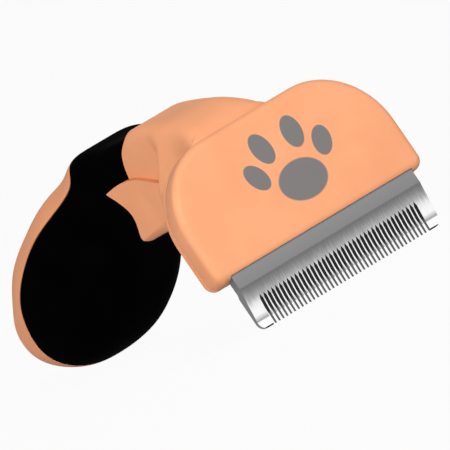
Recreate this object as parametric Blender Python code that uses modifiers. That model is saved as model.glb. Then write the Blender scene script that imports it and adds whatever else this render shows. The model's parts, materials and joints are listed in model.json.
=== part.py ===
import math

import bmesh
import bpy
from mathutils import Matrix, Vector

# Every length is in metres. The tool is drawn square to its head first: X along the blade,
# Y from the blade's front towards the butt, Z up from the line where the blade leaves the head.
# One empty then leans the whole tool until teeth and grip rest on the floor.
mm = 0.001

# clearances
gap = 0.3 * mm
hole_gap = 0.15 * mm

# how far a cutter runs past what it cuts, and the radius from which a round gets finer steps
cut_past = 8.0 * mm
fine_radius = 8.0 * mm

# head
head_width = 77.0 * mm
head_low = -0.8 * mm
head_high = 36.2 * mm
head_front = -1.0 * mm
head_back = 10.4 * mm
head_top_radius = 22.0 * mm
head_foot_radius = 3.2 * mm
head_edge = 2.4 * mm
head_draft = 1.5 * mm
head_wall = 2.2 * mm
back_wall = 3.45 * mm

# blade
blade_length = 67.0 * mm
land_depth = 2.7 * mm
land_low = -4.3 * mm
land_high = 1.5 * mm
shank_front = head_front + head_wall + 2 * gap
shank_depth = 2.6 * mm
shank_high = 15.0 * mm
tip_low = -16.8 * mm
tip_front = 2.5 * mm
tip_depth = 0.35 * mm
bevel_front = 2.2 * mm
bevel_height = 2.4 * mm
back_step = 0.55 * mm
slot_count = 41
slot_pitch = 1.43 * mm
slot_share = 0.66
slot_root = -7.9 * mm
slot_point = 1.2 * mm
blade_corner = 2.5 * mm

# clamp bar behind the blade's shank
clamp_length = 60.0 * mm
clamp_low = 3.2 * mm
clamp_high = 14.0 * mm

# screws, one size for the head and a longer one for the handle
screw_radius = 1.5 * mm
screw_head_radius = 2.7 * mm
screw_head_height = 1.7 * mm
screw_sink = 0.4 * mm
boss_radius = 3.4 * mm
blade_screw_x = clamp_length * 5 / 12
blade_screw_z = 8.4 * mm
cover_screw_outer = (31.0 * mm, 20.0 * mm)
cover_screw_inner = (17.5 * mm, 28.5 * mm)
handle_screw_length = 16.0 * mm
handle_screw_bite = 3.4 * mm

# whole tool: from the blade's front to the back of the finger rests and to the butt, the grip's
# widest place and the height of its crest
neck_end = 59.5 * mm
tool_length = 145.5 * mm
grip_width = 43.0 * mm
crest_high = 59.0 * mm

# tang and pin
tang_half_width = 5.0 * mm
tang_root = 6.0 * mm
pin_radius = 2.0 * mm

# core inside the grip
core_half_width = 8.0 * mm
core_skin = 6.5 * mm
core_overlap = 3.0 * mm

# The tables below draw the side view and the widths in millimetres at the sizes above. along, aside
# and up turn their numbers into lengths and stretch them when one of those sizes is changed.

# grip: y, underside, top, half width, squareness
grip_rows = (
    (40.0, 24.0, 52.5, 11.0, 6.0), (50.0, 26.0, 54.0, 11.5, 6.0), (60.0, 27.0, 55.5, 12.5, 6.0),
    (66.0, 27.0, 57.5, 13.0, 6.5), (70.0, 26.0, 59.0, 13.0, 6.0), (80.0, 23.0, 58.0, 14.0, 4.0),
    (94.0, 18.0, 57.0, 18.0, 3.0), (108.0, 13.5, 55.0, 21.0, 2.5), (118.0, 12.5, 52.0, 21.5, 2.5),
    (128.0, 13.5, 47.5, 20.0, 2.2), (138.0, 18.5, 41.5, 15.5, 2.2), (145.5, 30.0, 30.0, 0.0, 2.0),
)
grip_end = grip_rows[-1][0]
# rings of the grip: even steps, then even steps of the root of the way left to the round butt
grip_cuts = [40.0 + 3.0 * k for k in range(32)] + [grip_end - (3.3 - 0.4 * k) ** 2 for k in range(8)]
ring_points = 44

# neck: y, underside, half width there, half width of the flank, top
neck_rows = (
    (8.0, 12.5, 7.5, 12.5, 35.0), (10.0, 13.0, 8.0, 12.5, 38.0), (14.0, 14.5, 8.5, 12.5, 43.0),
    (22.0, 17.0, 10.0, 13.0, 48.0), (30.0, 19.5, 11.0, 14.5, 50.5), (38.0, 22.0, 12.0, 15.5, 53.0),
    (46.0, 24.5, 12.5, 15.5, 54.0), (62.0, 27.0, 13.0, 15.5, 54.0),
)
neck_cuts = [8.0, 9.5, 10.4, 10.8, 11.4, 12.5] + [14.0 + 1.5 * k for k in range(33)]
# y and height of the finger rest's upper edge; height and y of the ridge in front of the scoop above it
rest_edge = ((8.0, 24.0), (22.0, 31.0), (36.0, 36.5), (46.0, 42.0), (54.0, 44.0), (62.0, 44.0))
ridge = ((24.0, 46.0), (28.0, 42.0), (33.0, 36.5), (36.0, 33.0), (40.0, 29.0), (47.0, 24.5), (58.0, 22.0))
ridge_width = 2.0
ridge_spread = 6.0
ridge_spread_heights = (40.0, 48.0)
wall_half = 11.6
rest_half = 13.2
rest_flare = 1.4
rest_flare_run = (46.0, 60.0)
spring_drop = 2.0
scoop_rise = 1.0
shoulder_round = 4.6
foot_round = 2.2
arch_power = 4.2
neck_fillet = 1.0

# lines of the side view, as y and z: the neck's back edge over its top, the back of the finger rest,
# and the line where the rubber ends and the spine shell begins, which passes behind the core's end
core_end = 119.0
seam_line = ((41.0, 57.0), (41.0, 53.0), (44.0, 51.0), (47.5, 48.5), (49.0, 45.5), (50.0, 43.0))
rest_line = (
    (59.5, 44.0), (57.5, 41.0), (55.5, 37.5), (55.0, 34.5), (56.0, 31.5), (58.0, 28.5), (57.5, 26.5),
)
parting_line = (
    (72.0, 61.0), (72.5, 55.5), (74.5, 52.5), (85.0, 51.0), (core_end - 19.0, 48.5), (core_end - 7.0, 43.0),
    (core_end + 2.0, 36.0), (core_end + 6.0, 26.0), (core_end + 8.0, 17.0), (core_end + 5.0, 11.0),
)

# inner pieces in the same view: tang from z to z and its end, pin, core's front and crown, screws
tang_heights = (33.0, 42.0)
tang_end = 84.0
pin_spot = (74.0, 37.5)
core_front = (64.6, 47.0)
core_crown = (78.0, 49.0)
handle_screw_rows = (core_end - 21.0, core_end - 6.0)

for old in list(bpy.data.objects):
    bpy.data.objects.remove(old, do_unlink=True)

tool = bpy.data.collections.new("deshedding_tool")
cutters = bpy.data.collections.new("cutters")
bpy.context.scene.collection.children.link(tool)
bpy.context.scene.collection.children.link(cutters)
stand = bpy.data.objects.new("tool_lean", None)
tool.objects.link(stand)


def material(name, colour, metallic, roughness):
    made = bpy.data.materials.new(name)
    made.use_nodes = True
    shader = made.node_tree.nodes["Principled BSDF"]
    shader.inputs["Base Color"].default_value = (*colour, 1.0)
    shader.inputs["Metallic"].default_value = metallic
    shader.inputs["Roughness"].default_value = roughness
    return made


orange = material("orange_plastic", (0.95, 0.42, 0.22), 0.0, 0.45)
rubber = material("black_rubber", (0.01, 0.01, 0.01), 0.0, 0.7)
steel = material("brushed_steel", (0.6, 0.6, 0.6), 1.0, 0.35)
zinc = material("zinc_steel", (0.55, 0.56, 0.58), 1.0, 0.4)
nylon = material("grey_nylon", (0.2, 0.2, 0.2), 0.0, 0.5)


def place(name, mesh, coat):
    thing = bpy.data.objects.new(name, mesh)
    thing.parent = stand
    if coat is None:
        cutters.objects.link(thing)
        thing.hide_render = True
        thing.display_type = "WIRE"
    else:
        tool.objects.link(thing)
        mesh.materials.clear()
        mesh.materials.append(coat)
    return thing


def cut(thing, other, operation="DIFFERENCE"):
    step = thing.modifiers.new(operation.lower(), "BOOLEAN")
    step.operation = operation
    step.solver = "EXACT"
    step.object = other


def tidy(mesh):
    work = bmesh.new()
    work.from_mesh(mesh)
    bmesh.ops.remove_doubles(work, verts=work.verts, dist=1e-6)
    bmesh.ops.recalc_face_normals(work, faces=work.faces)
    work.to_mesh(mesh)
    work.free()
    return mesh


def prism(name, outline, start, end, axis, edge=0.0):
    # A filled flat curve, extruded from start to end along X or Y, with its rims rounded by edge.
    curve = bpy.data.curves.new(name, "CURVE")
    curve.dimensions = "2D"
    curve.fill_mode = "BOTH"
    curve.extrude = (end - start) / 2 - edge
    curve.bevel_depth = edge
    curve.bevel_resolution = 3
    curve.offset = -edge
    line = curve.splines.new("POLY")
    line.points.add(len(outline) - 1)
    for point, (first, second) in zip(line.points, outline):
        point.co = (first, second, 0.0, 1.0)
    line.use_cyclic_u = True
    holder = bpy.data.objects.new(name, curve)
    cutters.objects.link(holder)
    bpy.context.view_layer.update()
    graph = bpy.context.evaluated_depsgraph_get()
    mesh = bpy.data.meshes.new_from_object(holder.evaluated_get(graph))
    bpy.data.objects.remove(holder, do_unlink=True)
    bpy.data.curves.remove(curve)
    middle = (start + end) / 2
    if axis == "X":
        turn = Matrix(((0, 0, 1, middle), (1, 0, 0, 0), (0, 1, 0, 0), (0, 0, 0, 1)))
    else:
        turn = Matrix(((1, 0, 0, 0), (0, 0, -1, middle), (0, 1, 0, 0), (0, 0, 0, 1)))
    mesh.transform(turn)
    return tidy(mesh)


def block(low, high):
    work = bmesh.new()
    bmesh.ops.create_cube(work, size=1.0)
    middle = [(a + b) / 2 for a, b in zip(low, high)]
    size = [b - a for a, b in zip(low, high)]
    bmesh.ops.scale(work, vec=size, verts=work.verts)
    bmesh.ops.translate(work, vec=middle, verts=work.verts)
    mesh = bpy.data.meshes.new("block")
    work.to_mesh(mesh)
    work.free()
    return mesh


def rod(radius, start, end, sides=28):
    start = Vector(start)
    end = Vector(end)
    work = bmesh.new()
    bmesh.ops.create_cone(work, cap_ends=True, segments=sides, radius1=radius, radius2=radius,
                          depth=(end - start).length)
    turn = (end - start).to_track_quat("Z", "X").to_matrix().to_4x4()
    turn.translation = (start + end) / 2
    bmesh.ops.transform(work, matrix=turn, verts=work.verts)
    mesh = bpy.data.meshes.new("rod")
    work.to_mesh(mesh)
    work.free()
    return mesh


def loft(name, rings):
    # Unlike sections joined ring by ring, with a flat face at each end.
    count = len(rings[0])
    points = [point for ring in rings for point in ring]
    faces = []
    for row in range(len(rings) - 1):
        for k in range(count):
            near = row * count + k
            next_one = row * count + (k + 1) % count
            faces.append((near, next_one, next_one + count, near + count))
    faces.append(tuple(range(count)))
    faces.append(tuple(range((len(rings) - 1) * count, len(rings) * count)))
    mesh = bpy.data.meshes.new(name)
    mesh.from_pydata(points, [], faces)
    return tidy(mesh)


def rounded(corners):
    # Outline through corners given as (across, up, radius), each turned by an arc.
    outline = []
    for k, (x, z, radius) in enumerate(corners):
        here = Vector((x, z))
        before = Vector(corners[k - 1][:2]) - here
        after = Vector(corners[(k + 1) % len(corners)][:2]) - here
        if radius == 0.0:
            outline.append((x, z))
            continue
        half = before.angle(after) / 2
        reach = radius / math.tan(half)
        first = before.normalized() * reach
        last = after.normalized() * reach
        centre = (before.normalized() + after.normalized()).normalized() * radius / math.sin(half)
        steps = 14 if radius > fine_radius else 5
        for step in range(steps + 1):
            share = step / steps
            spoke = (first - centre).slerp(last - centre, share)
            spot = here + centre + spoke.normalized() * radius
            outline.append((spot.x, spot.y))
    return outline


def head_outline(inset):
    half = head_width / 2 - inset
    low = head_low + inset
    high = head_high - inset
    foot = max(head_foot_radius - inset, 0.4 * mm)
    top = head_top_radius - inset
    return rounded(((-half, low, foot), (half, low, foot), (half, high, top), (-half, high, top)))


def along(y):
    drawn = rest_line[0][0]
    if y <= drawn:
        return y * neck_end / drawn
    return neck_end + (y - drawn) * (tool_length - neck_end) / (grip_end - drawn)


def aside(x):
    return x * grip_width / (2 * max(row[3] for row in grip_rows))


def up(z):
    return z * crest_high / max(row[2] for row in grip_rows)


def yz(points):
    return [(along(y), up(z)) for y, z in points]


def slope(rows, k, column):
    before = rows[max(k - 1, 0)]
    after = rows[min(k + 1, len(rows) - 1)]
    return (after[column] - before[column]) / (after[0] - before[0])


def smooth(rows, at, column):
    # Cubic through the rows of a table, each row's slope taken from the rows beside it.
    k = 0
    while k < len(rows) - 2 and at > rows[k + 1][0]:
        k += 1
    span = rows[k + 1][0] - rows[k][0]
    t = limited((at - rows[k][0]) / span)
    rise = rows[k + 1][column] - rows[k][column]
    bend = t * (1 - t) ** 2 * slope(rows, k, column) - t * t * (1 - t) * slope(rows, k + 1, column)
    return rows[k][column] + rise * t * t * (3 - 2 * t) + span * bend


def limited(share):
    return min(max(share, 0.0), 1.0)


def eased(points):
    # Corners cut twice, ends kept: a smooth line from a few points.
    for again in range(2):
        softer = [points[0]]
        for a, b in zip(points, points[1:]):
            for share in (0.25, 0.75):
                softer.append((a[0] + (b[0] - a[0]) * share, a[1] + (b[1] - a[1]) * share))
        points = softer + [points[-1]]
    return points


def grip_row(y):
    # Taken over the root of the way left to the butt, which closes the grip with a round nose.
    rows = [(-math.sqrt(grip_end - row[0]), *row[1:]) for row in grip_rows]
    return [smooth(rows, -math.sqrt(grip_end - y), column) for column in (1, 2, 3, 4)]


def grip_ring(y):
    low, high, half, power = grip_row(y)
    ring = []
    for k in range(ring_points):
        turn = 2 * math.pi * k / ring_points
        c = math.cos(turn)
        s = math.sin(turn)
        x = half * math.copysign(abs(c) ** (2 / power), c)
        z = (low + high) / 2 + (high - low) / 2 * math.copysign(abs(s) ** (2 / power), s)
        ring.append((aside(x), along(y), up(z)))
    return ring


def drawn_in(distance, radius):
    # How far a rounded corner has drawn in, at a distance from the face that it meets.
    t = limited(1 - distance / radius)
    return radius * (1 - math.sqrt(1 - t * t))


def ramp(value, run):
    return limited((value - run[0]) / (run[1] - run[0]))


def neck_ring(y):
    # An arch in front of the ridge, a scooped wall above the finger rest behind it.
    swell = drawn_in(max(y - head_back / mm, 0.0), neck_fillet)
    low = smooth(neck_rows, y, 1) - swell
    foot = smooth(neck_rows, y, 2) + swell
    flank = smooth(neck_rows, y, 3) + swell
    top = smooth(neck_rows, y, 4)
    lip = smooth(rest_edge, y, 1)
    rest = rest_half + rest_flare * ramp(y, rest_flare_run)
    spring = lip - spring_drop
    low_count = 8
    high_count = 18
    levels = [low + (lip - low) * (1 - math.cos(math.pi / 2 * k / low_count)) for k in range(low_count)]
    levels += [lip + (top - lip) * math.sin(math.pi / 2 * k / high_count) for k in range(high_count + 1)]
    side = []
    for z in levels:
        above = ramp(z, (spring, top))
        below = ramp(z, (spring, low))
        arch = flank * (1 - above ** arch_power) ** (1 / arch_power) + (foot - flank) * below
        rise = limited(1 - (z - lip) / scoop_rise)
        wall = wall_half + (rest - wall_half) * rise ** 2 - drawn_in(top - z, shoulder_round)
        broad = ridge_width + ridge_spread * ramp(z, ridge_spread_heights)
        share = limited((y - smooth(ridge, z, 1)) / broad)
        half = arch + (wall - arch) * share * share * (3 - 2 * share) - drawn_in(z - low, foot_round)
        side.append((max(half, 1.0), z))
    ring = [(aside(x), along(y), up(z)) for x, z in side]
    ring += [(-aside(x), along(y), up(z)) for x, z in reversed(side)]
    return ring


def screw(name, radius, head_radius, head_height, length, spot, direction):
    # Profile from the tip to the head, spun about the axis; a hex recess is cut into the head.
    work = bmesh.new()
    tip = 0.5 * radius
    profile = (
        (0.0, length), (radius - tip, length), (radius, length - tip), (radius, 0.0),
        (head_radius, 0.0), (head_radius, -head_height * 0.55), (head_radius * 0.8, -head_height),
        (0.0, -head_height),
    )
    spots = [work.verts.new((r, 0.0, z)) for r, z in profile]
    for a, b in zip(spots, spots[1:]):
        work.edges.new((a, b))
    bmesh.ops.spin(work, geom=work.verts[:] + work.edges[:], cent=(0, 0, 0), axis=(0, 0, 1),
                   angle=2 * math.pi, steps=24, use_merge=False)
    mesh = bpy.data.meshes.new(name)
    work.to_mesh(mesh)
    work.free()
    turn = Vector(direction).to_track_quat("Z", "X").to_matrix().to_4x4()
    turn.translation = Vector(spot)
    tidy(mesh)
    recess = rod(head_radius * 0.5, (0.0, 0.0, -head_height * 3), (0.0, 0.0, -head_height * 0.4), 6)
    mesh.transform(turn)
    recess.transform(turn)
    made = place(name, mesh, zinc)
    cut(made, place(name + "_recess", recess, None))
    return made


# Head cover: front wall, side walls and four screw posts, open at the back.
head_seam = head_back - back_wall
cavity_front = head_front + head_wall
cavity_back = head_seam - gap / 2


def head_solid(name):
    mesh = prism(name, head_outline(0.0), head_front, head_back, "Y", head_edge)
    for vertex in mesh.vertices:
        share = (vertex.co.y - head_front) / (head_back - head_front)
        vertex.co.x *= 1 - share * head_draft / (head_width / 2)
    return mesh


big = 0.2
cover = place("head_cover", head_solid("head_cover"), orange)
cut(cover, place("cover_room", block((-big, cavity_back, -big), (big, big, big)), None))
cavity = prism("cavity", head_outline(head_wall + head_draft), cavity_front, big / 4, "Y")
cut(cover, place("cover_cavity", cavity, None))

screw_floor = head_back - screw_head_height - screw_sink
post_end = cavity_back - gap
cover_spots = []
for x, z in (cover_screw_outer, cover_screw_inner):
    cover_spots += [(x, z), (-x, z)]
for number, (x, z) in enumerate(cover_spots, 1):
    post = rod(boss_radius, (x, cavity_front - head_wall / 2, z), (x, post_end, z))
    cut(cover, place(f"cover_post_{number}", post, None), "UNION")

# The slot in the head's foot takes the blade's land, its shank and the clamp bar.
slot_half = blade_length / 2 + gap
slot_low = head_low - 4 * mm
slot_back = land_depth + back_step + gap
cut(cover, place("land_room", block((-slot_half, -gap, slot_low),
                                    (slot_half, slot_back, land_high + gap)), None))
shank_back = shank_front + shank_depth
cut(cover, place("shank_room", block((-slot_half, shank_front - gap, slot_low),
                                     (slot_half, shank_back + gap, shank_high)), None))

screw_length = screw_floor - shank_front - gap
for number, (x, z) in enumerate(cover_spots, 1):
    hole = rod(screw_radius + hole_gap, (x, screw_floor - screw_length - 2 * gap, z), (x, big / 4, z))
    cut(cover, place(f"cover_pilot_{number}", hole, None))

# Blade: one steel profile along X, its foot corners rounded, then 41 slots.
steel_back = land_depth + back_step
profile = (
    (shank_front, shank_high), (shank_front, land_high), (0.0, land_high), (0.0, land_low),
    (bevel_front, tip_low + bevel_height), (tip_front, tip_low), (tip_front + tip_depth, tip_low),
    (steel_back, land_low - 1.9 * mm), (land_depth, land_low - 0.9 * mm),
    (land_depth, land_high), (shank_back, land_high + 1.2 * mm), (shank_back, shank_high),
)
blade_mesh = prism("blade", profile, -blade_length / 2, blade_length / 2, "X")
blade = place("blade", blade_mesh, steel)
half = blade_length / 2
plate = rounded(((-half - mm, shank_high + mm, 0.0), (-half, 0.0, 0.0), (-half, tip_low, blade_corner),
                 (half, tip_low, blade_corner), (half, 0.0, 0.0), (half + mm, shank_high + mm, 0.0)))
blade_outline = prism("blade_outline", plate, -cut_past, cut_past, "Y")
cut(blade, place("blade_outline", blade_outline, None), "INTERSECT")
slot_width = slot_pitch * slot_share
slot_shoulder = slot_root - slot_point
comb = bpy.data.meshes.new("slots")
work = bmesh.new()
for number in range(slot_count):
    x = (number - (slot_count - 1) / 2) * slot_pitch
    wide = slot_width / 2
    outline = ((x - wide, tip_low - 2 * mm), (x + wide, tip_low - 2 * mm), (x + wide * 0.9, slot_shoulder),
               (x, slot_root), (x - wide * 0.9, slot_shoulder))
    work.from_mesh(prism("slot", outline, -cut_past, cut_past, "Y"))
work.to_mesh(comb)
work.free()
cut(blade, place("blade_slots", comb, None))

# Clamp bar between the blade's shank and the back plate.
clamp_front = shank_back + gap
clamp_back = cavity_back - gap
clamp = place("blade_clamp", block((-clamp_length / 2, clamp_front, clamp_low),
                                   (clamp_length / 2, clamp_back, clamp_high)), zinc)
rim = clamp.modifiers.new("rim", "BEVEL")
rim.width = 0.5 * mm
rim.segments = 1

blade_spots = [(-blade_screw_x, blade_screw_z), (0.0, blade_screw_z), (blade_screw_x, blade_screw_z)]
for number, (x, z) in enumerate(blade_spots, 1):
    reach = rod(screw_radius + hole_gap, (x, -big / 4, z), (x, big / 4, z))
    hole = place(f"blade_hole_{number}", reach, None)
    cut(blade, hole)
    cut(clamp, hole)

# Neck frame: back plate of the head, the neck with its scoops and finger rests, and the tang.
frame = place("neck_frame", head_solid("neck_frame"), orange)
cut(frame, place("frame_room", block((-big, -big, -big), (big, head_seam + gap / 2, big)), None))
neck = place("neck_form", loft("neck_form", [neck_ring(y) for y in neck_cuts]), None)


def neck_back(grow):
    # Back edge of the neck seen from the side, from above its top down to below the finger rests.
    edge = eased(yz(seam_line)) + eased(yz(rest_line))
    return [(y + grow, z + grow) for y, z in edge]


def beyond(edge, side):
    # Everything on one side of an edge that runs from above the tool to below it.
    return [(side * big, big), (edge[0][0], big)] + edge + [(edge[-1][0], -big), (side * big, -big)]


cut(neck, place("neck_top_room", prism("neck_top_room", beyond(neck_back(0.0), 1), -big, big, "X"), None))
cut(frame, neck, "UNION")
tang_low, tang_high = [up(z) for z in tang_heights]
tang = block((-tang_half_width, neck_end - tang_root, tang_low),
             (tang_half_width, along(tang_end), tang_high))
cut(frame, place("tang", tang, None), "UNION")
for number, (x, z) in enumerate(cover_spots + blade_spots, 1):
    hole = rod(screw_radius + hole_gap, (x, 0.0, z), (x, big / 4, z))
    cut(frame, place(f"frame_hole_{number}", hole, None))
    seat = rod(screw_head_radius + hole_gap, (x, screw_floor - gap / 2, z), (x, head_back + 3 * mm, z))
    cut(frame, place(f"frame_seat_{number}", seat, None))
pin_y = along(pin_spot[0])
pin_z = up(pin_spot[1])
pin_reach = rod(pin_radius + hole_gap, (-big / 4, pin_y, pin_z), (big / 4, pin_y, pin_z))
pin_hole = place("pin_hole", pin_reach, None)
cut(frame, pin_hole)

for number, (x, z) in enumerate(cover_spots, 1):
    screw(f"cover_screw_{number}", screw_radius, screw_head_radius, screw_head_height, screw_length,
          (x, screw_floor, z), (0, -1, 0))
for number, (x, z) in enumerate(blade_spots, 1):
    screw(f"blade_screw_{number}", screw_radius, screw_head_radius, screw_head_height, screw_length,
          (x, screw_floor, z), (0, -1, 0))

# Grip: one outer form, shared out between the rubber sleeve and the orange spine shell.
grip_rings = [grip_ring(y) for y in grip_cuts]
line = eased(yz(parting_line))


def shifted(points, distance):
    # The line moved sideways by distance, to the left of its run.
    moved = []
    for k, (y, z) in enumerate(points):
        before = Vector(points[max(k - 1, 0)])
        after = Vector(points[min(k + 1, len(points) - 1)])
        run = (after - before).normalized()
        moved.append((y - run.y * distance, z + run.x * distance))
    return moved


sleeve = place("grip_sleeve", loft("grip_sleeve", grip_rings), rubber)
side_room = prism("rubber_side", beyond(shifted(line, -gap / 2), -1), -big, big, "X")
cut(sleeve, place("rubber_side", side_room, None), "INTERSECT")
spine = place("spine_shell", loft("spine_shell", grip_rings), orange)
spine_room = prism("spine_room", beyond(shifted(line, gap / 2), -1), -big, big, "X")
cut(spine, place("spine_room", spine_room, None))

# The sleeve starts behind the neck and sits on top of its finger rests.
neck_room = prism("neck_room", beyond(neck_back(gap), -1), -big, big, "X")
cut(sleeve, place("neck_room", neck_room, None))

# Core: a bar between the tang and the spine shell, with the rubber wrapped round it.


def underside(y):
    return up(smooth(grip_rows, y, 1))


def height_at(points, y):
    for (a, low), (b, high) in zip(points, points[1:]):
        if a < b and a <= y <= b:
            return low + (high - low) * (y - a) / (b - a)
    return points[-1][1]


def core_outline(grow, lift):
    front = along(core_front[0]) - grow
    back = along(core_end) + grow
    crown = along(core_crown[0])
    edge = shifted(line, lift)
    top = [(front, up(core_front[1]) + grow), (crown, up(core_crown[1]) + grow)]
    top += [(y, z) for y, z in edge if crown + core_skin < y < back and z > height_at(edge, back)]
    top.append((back, height_at(edge, back)))
    steps = 6
    low = []
    for step in range(steps + 1):
        y = core_end + (core_front[0] - core_end) * step / steps
        low.append((along(y), underside(y) + core_skin - grow))
    low[0] = (back, low[0][1])
    low[-1] = (front, low[-1][1])
    return top + low


core = place("handle_core", prism("handle_core", core_outline(0.0, -gap * 1.5), -core_half_width,
                                  core_half_width, "X"), nylon)
core_room = prism("core_room", core_outline(gap, core_overlap), -core_half_width - gap,
                  core_half_width + gap, "X")
cut(sleeve, place("core_room", core_room, None))
tang_room = block((-tang_half_width - gap, neck_end / 2, tang_low - gap),
                  (tang_half_width + gap, along(tang_end) + gap, tang_high + gap))
tang_space = place("tang_room", tang_room, None)
cut(core, tang_space)
cut(sleeve, tang_space)
cut(core, pin_hole)
pin_half = core_half_width - gap
place("neck_pin", rod(pin_radius, (-pin_half, pin_y, pin_z), (pin_half, pin_y, pin_z)), zinc)

for number, row in enumerate(handle_screw_rows, 1):
    y = along(row)
    floor = height_at(line, y) + handle_screw_bite - handle_screw_length
    hole = rod(screw_radius + hole_gap, (0.0, y, -big / 4), (0.0, y, floor + handle_screw_length + gap))
    hole = place(f"handle_hole_{number}", hole, None)
    cut(core, hole)
    cut(spine, hole)
    seat = rod(screw_head_radius + hole_gap, (0.0, y, -big / 4), (0.0, y, floor + gap / 2))
    cut(core, place(f"handle_seat_{number}", seat, None))
    screw(f"handle_screw_{number}", screw_radius, screw_head_radius, screw_head_height,
          handle_screw_length, (0.0, y, floor), (0, 0, 1))

# Lean: turn about the teeth's tips until the grip's underside meets the same floor.
tip = Vector((tip_front + tip_depth / 2, tip_low))
lean = min(math.atan2(z - tip.y, y - tip.x) for ring in grip_rings for x, y, z in ring)
stand.matrix_world = Matrix.Rotation(-lean, 4, "X")
bpy.context.view_layer.update()
graph = bpy.context.evaluated_depsgraph_get()
low = Vector((1.0, 1.0, 1.0))
high = -low
for thing in tool.objects:
    if thing.type != "MESH":
        continue
    solid = thing.evaluated_get(graph)
    for vertex in solid.data.vertices:
        spot = solid.matrix_world @ vertex.co
        low = Vector(map(min, low, spot))
        high = Vector(map(max, high, spot))
shift = Vector((-(low.x + high.x) / 2, -(low.y + high.y) / 2, -low.z))
stand.matrix_world = Matrix.Translation(shift) @ Matrix.Rotation(-lean, 4, "X")
bpy.context.view_layer.update()
print("lean in degrees", round(math.degrees(lean), 3))
print("shift", [round(value, 6) for value in shift])
print("size", [round(value, 6) for value in high - low])
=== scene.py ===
import json
import math

import bmesh
import bpy
import numpy as np
from mathutils import Matrix, Vector


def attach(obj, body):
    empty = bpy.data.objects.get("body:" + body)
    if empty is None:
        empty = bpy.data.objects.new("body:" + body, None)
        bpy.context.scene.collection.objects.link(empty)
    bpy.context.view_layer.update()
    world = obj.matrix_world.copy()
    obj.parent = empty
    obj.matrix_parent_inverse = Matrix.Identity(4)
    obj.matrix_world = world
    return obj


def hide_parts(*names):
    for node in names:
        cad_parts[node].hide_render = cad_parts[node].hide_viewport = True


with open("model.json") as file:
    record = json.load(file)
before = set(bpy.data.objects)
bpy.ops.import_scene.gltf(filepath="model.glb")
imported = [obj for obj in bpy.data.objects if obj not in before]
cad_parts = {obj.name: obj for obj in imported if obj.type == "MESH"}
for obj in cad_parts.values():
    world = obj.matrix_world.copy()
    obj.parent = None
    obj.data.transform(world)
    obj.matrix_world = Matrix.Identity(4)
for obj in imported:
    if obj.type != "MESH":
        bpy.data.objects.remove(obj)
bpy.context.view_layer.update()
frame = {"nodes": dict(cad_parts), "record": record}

scene = bpy.context.scene

# Shapes are worked out in millimetres in the tool's own frame: X along the blade, Y from the front of the
# blade's land to the butt, Z up from about where the blade leaves the head. The CAD leans that frame.
mm = 0.001
headFace = frame["record"]["mounts"][0]
faceSpot = np.array((0.0, -1.0, 17.7))  # the mount's point in the tool's frame
lean = math.atan2(headFace["axis"][2], -headFace["axis"][1])
leanTurn = np.array(((1.0, 0.0, 0.0),
                     (0.0, math.cos(lean), math.sin(lean)),
                     (0.0, -math.sin(lean), math.cos(lean))))
leanShift = np.array(headFace["pos_m"]) - leanTurn @ faceSpot * mm

weldReach = 2e-6  # metres; points that lie closer become one
sliverLength = 1e-7  # metres; shorter edges go
crease = 32.0  # degrees; steeper folds stay hard
stripShares = np.linspace(1, -1, 9)  # columns of a strip from one side of the tool to the other


def toModel(points):
    # turn by the lean, then shift: millimetres of the tool to metres of the frame
    return np.asarray(points) @ leanTurn.T * mm + leanShift


def smoothRow(xs, ys, at):
    # natural cubic spline through the rows of a table: second slopes first, then the cubic of each span
    xs = np.asarray(xs, float)
    ys = np.asarray(ys, float)
    step = np.diff(xs)
    rise = np.diff(ys) / step
    bend = np.zeros(len(xs))
    matrix = np.diag(2 * (step[:-1] + step[1:])) + np.diag(step[1:-1], 1) + np.diag(step[1:-1], -1)
    bend[1:-1] = np.linalg.solve(matrix, 6 * np.diff(rise))
    k = np.clip(np.searchsorted(xs, at) - 1, 0, len(xs) - 2)
    near = np.clip(at, xs[0], xs[-1]) - xs[k]
    return (ys[k] + near * (rise[k] - step[k] * (2 * bend[k] + bend[k + 1]) / 6)
            + near ** 2 * bend[k] / 2 + near ** 3 * (bend[k + 1] - bend[k]) / (6 * step[k]))


def bSplineWeights(controls, samples):
    # cubic B-spline with its ends held: each row gives the share of every control point
    knots = np.concatenate((np.zeros(3), np.linspace(0, 1, controls - 2), np.ones(3)))
    t = np.linspace(0, 1, samples)[:, None]
    t[-1] = 1 - 1e-9  # just inside the last span
    basis = ((t >= knots[:-1]) & (t < knots[1:])).astype(float)
    for degree in (1, 2, 3):
        low = knots[:-1 - degree]
        span = knots[degree:-1] - low
        rising = np.where(span > 0, (t - low) / np.where(span > 0, span, 1), 0) * basis[:, :-1]
        high = knots[1 + degree:]
        span = high - knots[1:-degree]
        falling = np.where(span > 0, (high - t) / np.where(span > 0, span, 1), 0) * basis[:, 1:]
        basis = rising + falling
    return basis


def bSpline(points, samples):
    # points of the curve: each is the weighted sum of the control points
    points = np.asarray(points, float)
    return bSplineWeights(len(points), samples) @ points


def alongLine(points, shares):
    # points of a polyline at the given shares of its own length
    run = np.concatenate(((0,), np.cumsum(np.linalg.norm(np.diff(points, axis=0), axis=1))))
    at = shares * run[-1]
    return np.stack([np.interp(at, run, points[:, k]) for k in range(points.shape[1])], axis=1)


def easeOut(count):
    # shares from 0 to 1 that crowd towards 1: the sine of even steps over a quarter turn
    return np.sin(np.linspace(0, np.pi / 2, count))


def gridFaces(rows, cols, start):
    # four corners of every cell of a grid, numbered row by row from start
    corner = start + np.arange(rows * cols).reshape(rows, cols)
    cells = (corner[:-1, :-1], corner[:-1, 1:], corner[1:, 1:], corner[1:, :-1])
    return np.stack(cells, axis=-1).reshape(-1, 4)


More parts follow.
